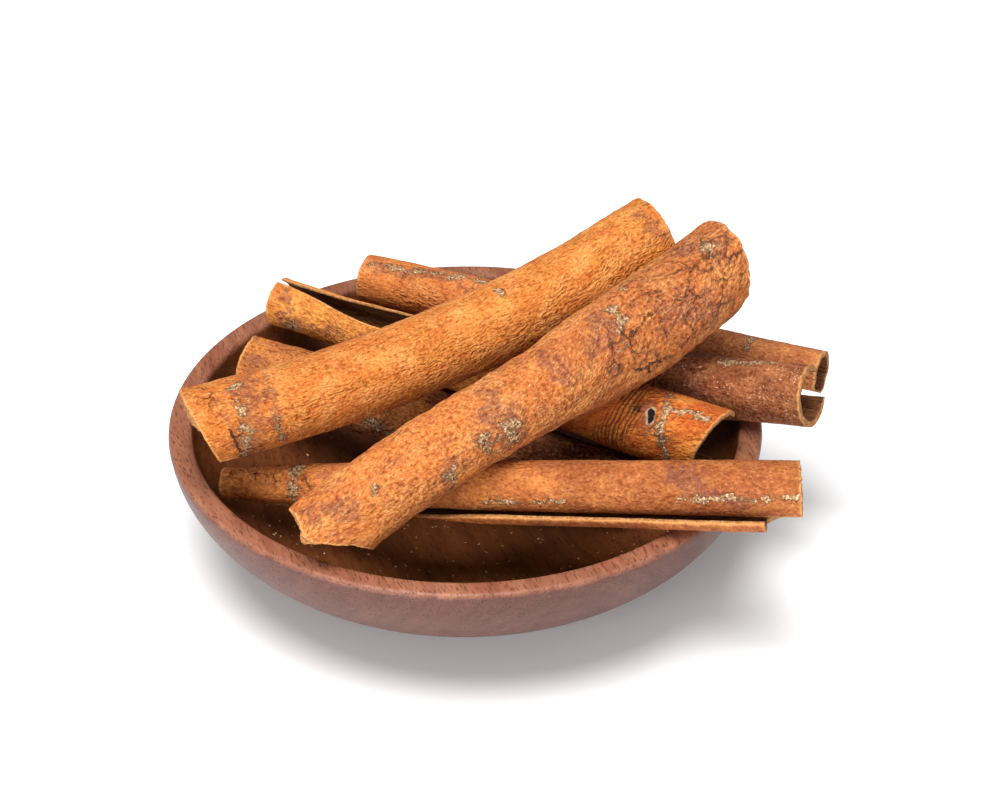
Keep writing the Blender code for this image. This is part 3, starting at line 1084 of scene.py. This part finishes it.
# %% Marks on the bark
MARKS = {
    "quill_top_back": (
        ("crust", (0.107, -4), (0.100, 10), 1.4), ("crust", (0.088, 26), (0.080, 44), 1.6),
        ("crust", (0.076, 60), (0.050, 135), 1.5), ("crust", (0.139, 70), (0.131, 106), 1.0),
        ("stain", (0.110, -10), (0.060, 130), 4.6), ("stain", (0.141, 10), (0.131, 110), 1.8),
        ("stain", (0.156, -10), (0.150, 60), 1.0), ("slit", (0.050, 66), (0.040, 140), 1.0),
        ("craze", (0.035, -10), (0.040, 30), 3.2), ("craze", (0.060, 60), (0.050, 140), 3.0),
        ("crust", (0.636, 4), (0.645, 10), 1.1), ("stain", (0.965, 25), (0.975, 50), 3.6),
    ),
    "quill_top_front": (
        ("stain", (0.425, 25), (0.395, 85), 5.4), ("crust", (0.415, 64), (0.400, 84), 3.0),
        ("stain", (0.345, 50), (0.335, 90), 3.2), ("crust", (0.340, 60), (0.337, 80), 1.9),
        ("crust", (0.716, 6), (0.690, 40), 1.7), ("stain", (0.715, 5), (0.660, 70), 3.6),
        ("crust", (0.949, -2), (0.940, 8), 1.7), ("stain", (0.93, -5), (0.96, 30), 4.0),
        ("stain", (0.533, 20), (0.545, 40), 4.0), ("stain", (0.655, 15), (0.640, 35), 3.6),
        ("crust", (0.254, 72), (0.234, 112), 1.6), ("stain", (0.245, 60), (0.230, 120), 3.0),
        ("crust", (0.137, 36), (0.130, 44), 0.8), ("stain", (0.04, 5), (0.06, 45), 3.6),
        ("slit", (0.690, 88), (0.775, 94), 1.1), ("slit", (0.722, 72), (0.728, 108), 0.9),
        ("stain", (0.80, 40), (0.90, 80), 5.0), ("craze", (0.70, 40), (0.95, 40), 11.0),
        ("craze", (0.70, 90), (0.85, 100), 5.0), ("crust", (0.760, -20), (0.765, -12), 1.2),
    ),
    "quill_front": (
        ("crust", (0.138, -20), (0.137, 120), 1.8), ("crust", (0.470, 94), (0.610, 88), 0.7),
        ("crust", (0.800, 78), (0.990, 71), 0.85), ("stain", (0.19, 20), (0.24, 70), 2.6),
        ("stain", (0.80, 40), (0.90, 70), 3.0), ("craze", (0.02, 20), (0.20, 60), 3.0),
    ),
    "quill_far_back": (
        ("crust", (0.020, 20), (0.240, -6), 1.2), ("crust", (0.240, -4), (0.330, 20), 1.3),
        ("stain", (0.020, 24), (0.300, 0), 2.6),
        ("crust", (0.850, -10), (0.852, 40), 1.1), ("stain", (0.24, 20), (0.27, 60), 2.6),
    ),
    "quill_right": (
        ("stain", (0.70, 20), (0.78, 80), 4.0), ("crust", (0.80, 10), (0.92, -4), 1.3),
    ),
    "quill_split": (
        ("crust", (0.034, 114), (0.070, 102), 2.7), ("stain", (0.03, 90), (0.05, 130), 3.6),
        ("stain", (0.03, 10), (0.06, 60), 3.6), ("stain", (0.05, 90), (0.34, 90), 2.6),
        ("crust", (0.876, -14), (0.905, 28), 1.4), ("crust", (0.905, 28), (0.942, 108), 1.8),
        ("crust", (0.909, 26), (0.945, 14), 1.4), ("crust", (0.945, 14), (0.985, 10), 2.0),
        ("hole", (0.878, 34), (0.882, 52), 1.35), ("stain", (0.860, 20), (0.890, 66), 2.6),
        ("ridge", (0.820, -10), (0.820, 110), 4.6),
        ("craze", (0.86, 40), (0.95, 80), 4.0),
    ),
    "quill_knobby": (
        ("stain", (0.029, 36), (0.040, 50), 2.4), ("crust", (0.340, 80), (0.370, 88), 2.0),
        ("crust", (0.415, 96), (0.430, 102), 2.4), ("stain", (0.28, 90), (0.60, 90), 6.0),
        ("craze", (0.25, 80), (0.6, 90), 8.0),
    ),
}
print("strokes:", {name: len(strokes) for name, strokes in MARKS.items()})


# %% [markdown]
# A crust never follows a straight line, so each stroke is broken into short legs that stray to
# the side and change their width, drawn from a random generator with a fixed start. Angles are
# counted from the top, and only the outermost turn of a roll is painted.

# %% Paint the marks
STRAY, NARROWEST, WIDEST = 0.22, 0.65, 1.2
LEG = 1.3


def stroke_mask(places, start, end, width):
    """1 on the line from start to end, falling to 0 at a width from it (all in millimetres)."""
    run = end - start
    share = ((places - start) @ run) / max(run @ run, 1e-6)
    nearest = start + np.clip(share, 0, 1)[:, None] * run
    return np.clip(1 - np.linalg.norm(places - nearest, axis=1) / width, 0, 1)


def wandering_mask(places, start, end, width, chance):
    """A stroke that strays from its line and changes its width on the way."""
    count = max(1, round(np.linalg.norm(end - start) / (LEG * width)))
    stops = start + np.linspace(0, 1, count + 1)[:, None] * (end - start)
    stops = stops + chance.normal(0, STRAY * width, stops.shape)
    widths = width * chance.uniform(NARROWEST, WIDEST, count)
    return np.max([stroke_mask(places, *leg) for leg in zip(stops, stops[1:], widths)], axis=0)


def paint_marks(quill, name):
    mesh, made = quill.data, MEASURED[name]
    chance = np.random.default_rng(len(name))
    size = np.array((made["radii"].mean(), made["length"])) / MM
    turned = read_points(mesh, "angle")
    outermost = abs(turned - math.radians(HABITS[name]["lip"][0][1])) < 2 * math.pi
    from_top = np.mod(turned + math.pi / 2, 2 * math.pi) - math.pi / 2
    places = np.column_stack((from_top, read_points(mesh, "along"))) * size
    masks = {kind: np.zeros(len(mesh.vertices), np.float32) for kind in MARK_KINDS}
    for kind, start, end, width in MARKS[name]:
        ends = [np.array((math.radians(angle), share)) * size for share, angle in (start, end)]
        mask = wandering_mask(places, *ends, width, chance) * outermost
        masks[kind] = np.maximum(masks[kind], mask)
    for kind, mask in masks.items():
        mesh.attributes.new(kind, 'FLOAT', 'POINT').data.foreach_set("value", mask.astype(np.float32))


print("a leg is", LEG, "times as long as its stroke is wide")


# %% [markdown]
# Everything is ready, so the quills can be made. Each one gets a seed of its own, which shifts all
# its noise, so no two sheets show the same pattern.

# %% Make every quill
SEED_STEP = 7.3


def build_quill(name, seed):
    skin = make_skin(name, seed, MEASURED[name]["length"], sheet_width(name))
    quill = make_quill(name, skin, make_inside(name, seed), make_cut(name, seed), seed)
    paint_marks(quill, name)
    return quill


QUILLS = {name: build_quill(name, number * SEED_STEP) for number, name in enumerate(HABITS)}


# %% [markdown]
# Wood has its pattern all the way through, so this group reads the place in space and not a map
# of the surface: pores and streaks are drawn out along the grain, and the yearly layers are
# shells round it. Turned walls then cut the pattern as real ones do, in dashes where the cut runs
# with the grain and in dots where it runs across.

# %% Wood
GRAIN_AXIS, GRAIN_ANGLE = (0.15, 0.05, 1.0), 1.25


def build_wood():
    tree, graph, given, out = shade_group("turned wood", (
        ("Place", VECTOR, None), ("Dark", COLOUR, web("5a2c1c")), ("Middle", COLOUR, web("8a4a32")),
        ("Light", COLOUR, web("b0694a")), ("Pores", NUMBER, 0.6)),
        (("Colour", COLOUR, None), ("Height", NUMBER, None)))
    place = graph.scaled(given["Place"], 1 / MM)
    turned = graph.add("ShaderNodeVectorRotate", {"Vector": place, "Axis": GRAIN_AXIS,
                                                  "Angle": GRAIN_ANGLE}, rotation_type='AXIS_ANGLE')

    def along_grain(length, width, detail=3.0, rough=0.6):
        stretch = graph.vector('DIVIDE', turned, (length, width, width))
        return graph.noise(stretch, 1.0, detail, rough)

    streak = graph.span(along_grain(16.0, 1.1), 0.35, 0.65)
    band = graph.span(along_grain(70.0, 9.0), 0.35, 0.65)
    colour = graph.mix(streak * 0.45 + band * 0.55, given["Middle"], given["Light"])
    layers = graph.add("ShaderNodeTexWave", {
        "Vector": graph.vector('MULTIPLY', turned, (0.02, 1.0, 1.0)), "Scale": 0.09, "Distortion": 5.0,
        "Detail": 2.0, "Detail Scale": 0.4}, out="Fac", wave_type='RINGS', rings_direction='X')
    colour = graph.mix(graph.span(layers, 0.4, 1.0, 0.0, 0.16, smooth=True), colour, given["Dark"])
    pores = graph.span(along_grain(2.6, 0.34, 1.5, 0.5), 0.55, 0.68, smooth=True)
    pores = pores * given["Pores"]
    colour = graph.mix(pores, colour, given["Dark"])
    height = streak * 0.03 - pores * 0.10
    graph.plug(out["Colour"], colour)
    graph.plug(out["Height"], height)
    return tree


WOOD = build_wood()
print(f"{WOOD.name}: {len(WOOD.nodes)} nodes")


# %% [markdown]
# The bowl was oiled outside and in. It is darker there than at its lighter rim, and the hollow's
# colours are darkened further as painted shade inside the bowl. One function makes both finishes,
# and lets the colour go over to the rim's across an uneven line.

# %% Outside, hollow and rim
OUTSIDE = dict(Dark=web("35201b"), Middle=web("54332c"), Light=web("664138"), rough=0.45, gloss=0.3)
# The hollow's dark colours are partly the wood's own and partly painted shade inside the bowl.
HOLLOW_WITH_PAINTED_SHADE = dict(Dark=web("2a1308"), Middle=web("552a14"), Light=web("70401f"), rough=0.50, gloss=0.12)
RIM = dict(Dark=web("452219"), Middle=web("794432"), Light=web("96644a"))


RIM_WAVER, RIM_WAVER_SCALE = 0.8 * MM, 260.0


def make_wood(name, look, rim_from, rim_to):
    """Turned wood whose colour goes over to the lighter rim between two heights."""
    material, graph, shader = new_material(name)
    place = graph.add("ShaderNodeTexCoord", out="Object")
    waver = graph.noise(place, RIM_WAVER_SCALE, 3.0, 0.6) - 0.5
    rise = graph.parts(place)[2] + waver * RIM_WAVER
    on_rim = graph.span(rise, rim_from, rim_to, smooth=True)
    values = {label: graph.mix(on_rim, look[label], RIM[label]) for label in ("Dark", "Middle", "Light")}
    wood = use_group(graph, WOOD, {"Place": place, **values})
    finished(shader, wood["Colour"], look["rough"], look["gloss"])
    bumped(graph, shader, wood["Height"])
    return material


# %% [markdown]
# The bowl is one turned piece, so its section is drawn once and spun. The size comes from the
# measured bowl: half an ellipse outside, cut flat for the foot, half an ellipse inside, and a
# thick rim with both corners rounded over.

# %% Turn the bowl
BOWL_LOW, BOWL_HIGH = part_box("bowl")
RIM_RADIUS = (BOWL_HIGH.x - BOWL_LOW.x) / 2
BOWL_HEIGHT = BOWL_HIGH.z - BOWL_LOW.z
WALL = 4.4 * MM
FLOOR_THICK = 5.0 * MM
OUTER_DEPTH = BOWL_HEIGHT + 2.0 * MM
RIM_ROUND = 1.2 * MM
BOWL_STEPS = 240
WALL_POINTS = 40
FACES_OUT, FACES_DOWN = 0.3, -0.5


def rounded_corner(corner, toward, away, count=6):
    """Points of a quarter bend at a corner, between a point before it and a point after it."""
    corner, toward, away = Vector(corner), Vector(toward), Vector(away)
    return [tuple(toward.lerp(corner, t).lerp(corner.lerp(away, t), t))
            for t in np.linspace(0, 1, count)]


def bowl_section():
    mouth, depth = RIM_RADIUS - WALL, BOWL_HEIGHT - FLOOR_THICK
    points = []
    for angle in np.linspace(0, math.radians(86), WALL_POINTS):
        points.append((mouth * math.sin(angle), BOWL_HEIGHT - depth * math.cos(angle)))
    top = BOWL_HEIGHT
    points += rounded_corner((mouth, top), (mouth, top - RIM_ROUND), (mouth + RIM_ROUND, top))
    points += rounded_corner((RIM_RADIUS, top), (RIM_RADIUS - RIM_ROUND, top),
                             (RIM_RADIUS, top - RIM_ROUND))
    foot_angle = math.asin(BOWL_HEIGHT / OUTER_DEPTH)
    for angle in np.linspace(math.asin(RIM_ROUND / OUTER_DEPTH), foot_angle, WALL_POINTS)[1:]:
        points.append((RIM_RADIUS * math.cos(angle), top - OUTER_DEPTH * math.sin(angle)))
    points.append((0.0, 0.0))
    return points


def make_bowl(outside, inside):
    section = bowl_section()
    mesh = bpy.data.meshes.new("turned_bowl")
    mesh.from_pydata([(x, 0.0, z) for x, z in section], [(i, i + 1) for i in range(len(section) - 1)], [])
    bowl = bpy.data.objects.new("turned_bowl", mesh)
    bpy.context.scene.collection.objects.link(bowl)
    turn = bowl.modifiers.new("turned", 'SCREW')
    turn.steps = turn.render_steps = BOWL_STEPS
    turn.use_merge_vertices = True
    turn.merge_threshold = 0.00001
    turn.use_smooth_shade = True
    solid = plain_mesh(bowl)
    for material in (outside, inside):
        solid.materials.append(material)
    for face in solid.polygons:
        reach = math.hypot(face.center.x, face.center.y)
        outward = (face.normal.x * face.center.x + face.normal.y * face.center.y) / reach
        face.material_index = 0 if outward > FACES_OUT or face.normal.z < FACES_DOWN else 1
    return bowl


BOWL = make_bowl(make_wood("bowl_outside", OUTSIDE, BOWL_HEIGHT - 1.1 * MM, BOWL_HEIGHT),
                 make_wood("bowl_inside", HOLLOW_WITH_PAINTED_SHADE, BOWL_HEIGHT - 1.6 * MM, BOWL_HEIGHT - 0.4 * MM))
print("bowl faces:", len(BOWL.data.polygons))


# %% [markdown]
# Sticks like these shed crumbs. They lie in the bowl wherever it is level enough to hold them,
# and each one is a small lump with a size and a turn of its own.

# %% Crumbs in the bowl
CRUMB_DARK, CRUMB_PALE = web("8a5a34"), web("d9b083")
CRUMB_INPUTS = (
    ("Bowl", SHAPE, None), ("Crumbs per m2", NUMBER, 70000.0), ("Seed", WHOLE, 5),
    ("Smallest", VECTOR, (0.00008, 0.00006, 0.00004)), ("Largest", VECTOR, (0.00042, 0.00026, 0.00014)),
    ("Level", NUMBER, 0.72), ("Highest", NUMBER, 0.015), ("Crumb", MATERIAL, None),
)


def build_crumb_tree():
    tree = new_group("scatter crumbs", 'GeometryNodeTree', CRUMB_INPUTS, (("Crumbs", SHAPE, None),))
    tree.is_modifier = True
    graph = Graph(tree)
    given = graph.outputs(graph.node("NodeGroupInput"))
    level = graph.parts(graph.add("GeometryNodeInputNormal"))[2]
    level = graph.math('GREATER_THAN', level, given["Level"])
    height = graph.parts(graph.add("GeometryNodeInputPosition"))[2]
    inside = graph.math('GREATER_THAN', graph.add("GeometryNodeInputMaterialIndex"), 0.5)
    low = graph.math('LESS_THAN', height, given["Highest"])
    scatter = graph.node("GeometryNodeDistributePointsOnFaces", distribute_method='RANDOM')
    graph.plug(scatter.inputs["Mesh"], given["Bowl"])
    graph.plug(scatter.inputs["Selection"], inside * low * level)
    graph.plug(scatter.inputs["Density"], given["Crumbs per m2"])
    graph.plug(scatter.inputs["Seed"], given["Seed"])
    lump = graph.add("GeometryNodeMeshIcoSphere", {"Radius": 1.0, "Subdivisions": 1}, out="Mesh")
    chance = []
    for low, high, shift in ((given["Smallest"], given["Largest"], 1), ((0, 0, 0), (0.5, 0.5, 6.3), 2)):
        draw = graph.node("FunctionNodeRandomValue", data_type='FLOAT_VECTOR')
        graph.plug(draw.inputs[0], low)
        graph.plug(draw.inputs[1], high)
        graph.plug(draw.inputs["Seed"], shift)
        chance.append(Value(graph, draw.outputs[0]))
    placed = graph.add("GeometryNodeInstanceOnPoints", {
        "Points": graph.outputs(scatter)["Points"], "Instance": lump,
        "Scale": chance[0], "Rotation": chance[1]})
    real = graph.add("GeometryNodeRealizeInstances", {"Geometry": placed})
    done = graph.add("GeometryNodeSetMaterial", {"Geometry": real, "Material": given["Crumb"]})
    graph.plug(graph.node("NodeGroupOutput").inputs[0], done)
    return tree


def make_crumb_material():
    material, graph, shader = new_material("bark_crumb")
    place = graph.add("ShaderNodeTexCoord", out="Object")
    shade = graph.span(graph.noise(graph.scaled(place, 1 / MM), 1.3, 2.0, 0.6), 0.35, 0.65)
    finished(shader, graph.mix(shade, CRUMB_DARK, CRUMB_PALE), 0.9, 0.5)
    return material


def make_crumbs(bowl):
    crumbs = bpy.data.objects.new("bark_crumbs", bowl.data.copy())
    bpy.context.scene.collection.objects.link(crumbs)
    scatter = crumbs.modifiers.new("scatter", 'NODES')
    scatter.node_group = build_crumb_tree()
    set_input(scatter, "Crumb", make_crumb_material())
    plain_mesh(crumbs)
    return crumbs


CRUMBS = make_crumbs(BOWL)
print("crumb faces:", len(CRUMBS.data.polygons))


# %% [markdown]
# Nothing moves, so every piece rides on the one body, and the measured solid that it replaces is
# hidden. The crumbs stand for no solid.

# %% Attach every piece to the body
for name, quill in QUILLS.items():
    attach(quill, BODY)
    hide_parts(name)
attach(BOWL, BODY)
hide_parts("bowl")
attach(CRUMBS, BODY)
print("pieces:", len(QUILLS) + 2)


# %% [markdown]
# The stage is a plain pale floor. A soft key light hangs overhead and a little in front. A low
# fill from the left front and a weaker kicker from the right front open up the shadows under the
# quills, and a white dome that is brighter overhead does the rest. The camera looks down at the
# table from in front, with a long lens that keeps the bowl's rim a calm ellipse.

# %% Floor, light and camera
AIM = Vector((6.4, 0.0, 30.7)) * MM
CAMERA_RISE = math.radians(33.47)
CAMERA_DISTANCE = 0.560
LENS = 109.08
FLOOR_GAP = 0.1 * MM
FLOOR_GREY = (0.86, 0.86, 0.86, 1)


def make_floor():
    mesh = bpy.data.meshes.new("floor")
    sheet = bmesh.new()
    bmesh.ops.create_grid(sheet, x_segments=1, y_segments=1, size=6.0)
    sheet.to_mesh(mesh)
    sheet.free()
    floor = bpy.data.objects.new("floor", mesh)
    bpy.context.scene.collection.objects.link(floor)
    floor.location.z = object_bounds()[0][2] - FLOOR_GAP
    material, _, shader = new_material("pale_floor")
    finished(shader, FLOOR_GREY, 0.9, 0.5)
    mesh.materials.append(material)


def make_light(name, place, size, watts):
    lamp = bpy.data.lights.new(name, 'AREA')
    lamp.shape = 'DISK'
    lamp.size = size
    lamp.energy = watts
    light = bpy.data.objects.new(name, lamp)
    light.location = place
    light.rotation_euler = (AIM - Vector(place)).to_track_quat('-Z', 'Y').to_euler()
    bpy.context.scene.collection.objects.link(light)


def make_dome(low, high):
    """A soft white dome that is brighter overhead than at the horizon."""
    world = bpy.data.worlds.new("studio")
    bpy.context.scene.world = world
    world.use_nodes = True
    graph = Graph(world.node_tree)
    rise = graph.parts(graph.add("ShaderNodeTexCoord", out="Generated"))[2]
    dome = world.node_tree.nodes["Background"]
    dome.inputs["Color"].default_value = (1, 1, 1, 1)
    graph.plug(dome.inputs["Strength"], graph.span(rise, 0.0, 1.0, low, high))


def make_camera():
    camera = bpy.data.objects.new("camera", bpy.data.cameras.new("camera"))
    toward = Vector((0, -math.cos(CAMERA_RISE), math.sin(CAMERA_RISE)))
    camera.location = AIM + toward * CAMERA_DISTANCE
    camera.rotation_euler = (-toward).to_track_quat('-Z', 'Y').to_euler()
    camera.data.lens = LENS
    camera.data.sensor_width = 36.0
    camera.data.clip_start = 0.01
    bpy.context.scene.collection.objects.link(camera)
    bpy.context.scene.camera = camera


make_floor()
make_light("key", (-0.10, -0.18, 0.73), 0.5, 7.9)
make_light("fill", (-0.36, -0.62, 0.15), 0.5, 5.2)
make_light("kicker", (0.50, -0.50, 0.12), 0.5, 1.8)
make_dome(0.16, 0.54)
bpy.context.scene.view_settings.view_transform = 'Standard'
make_camera()
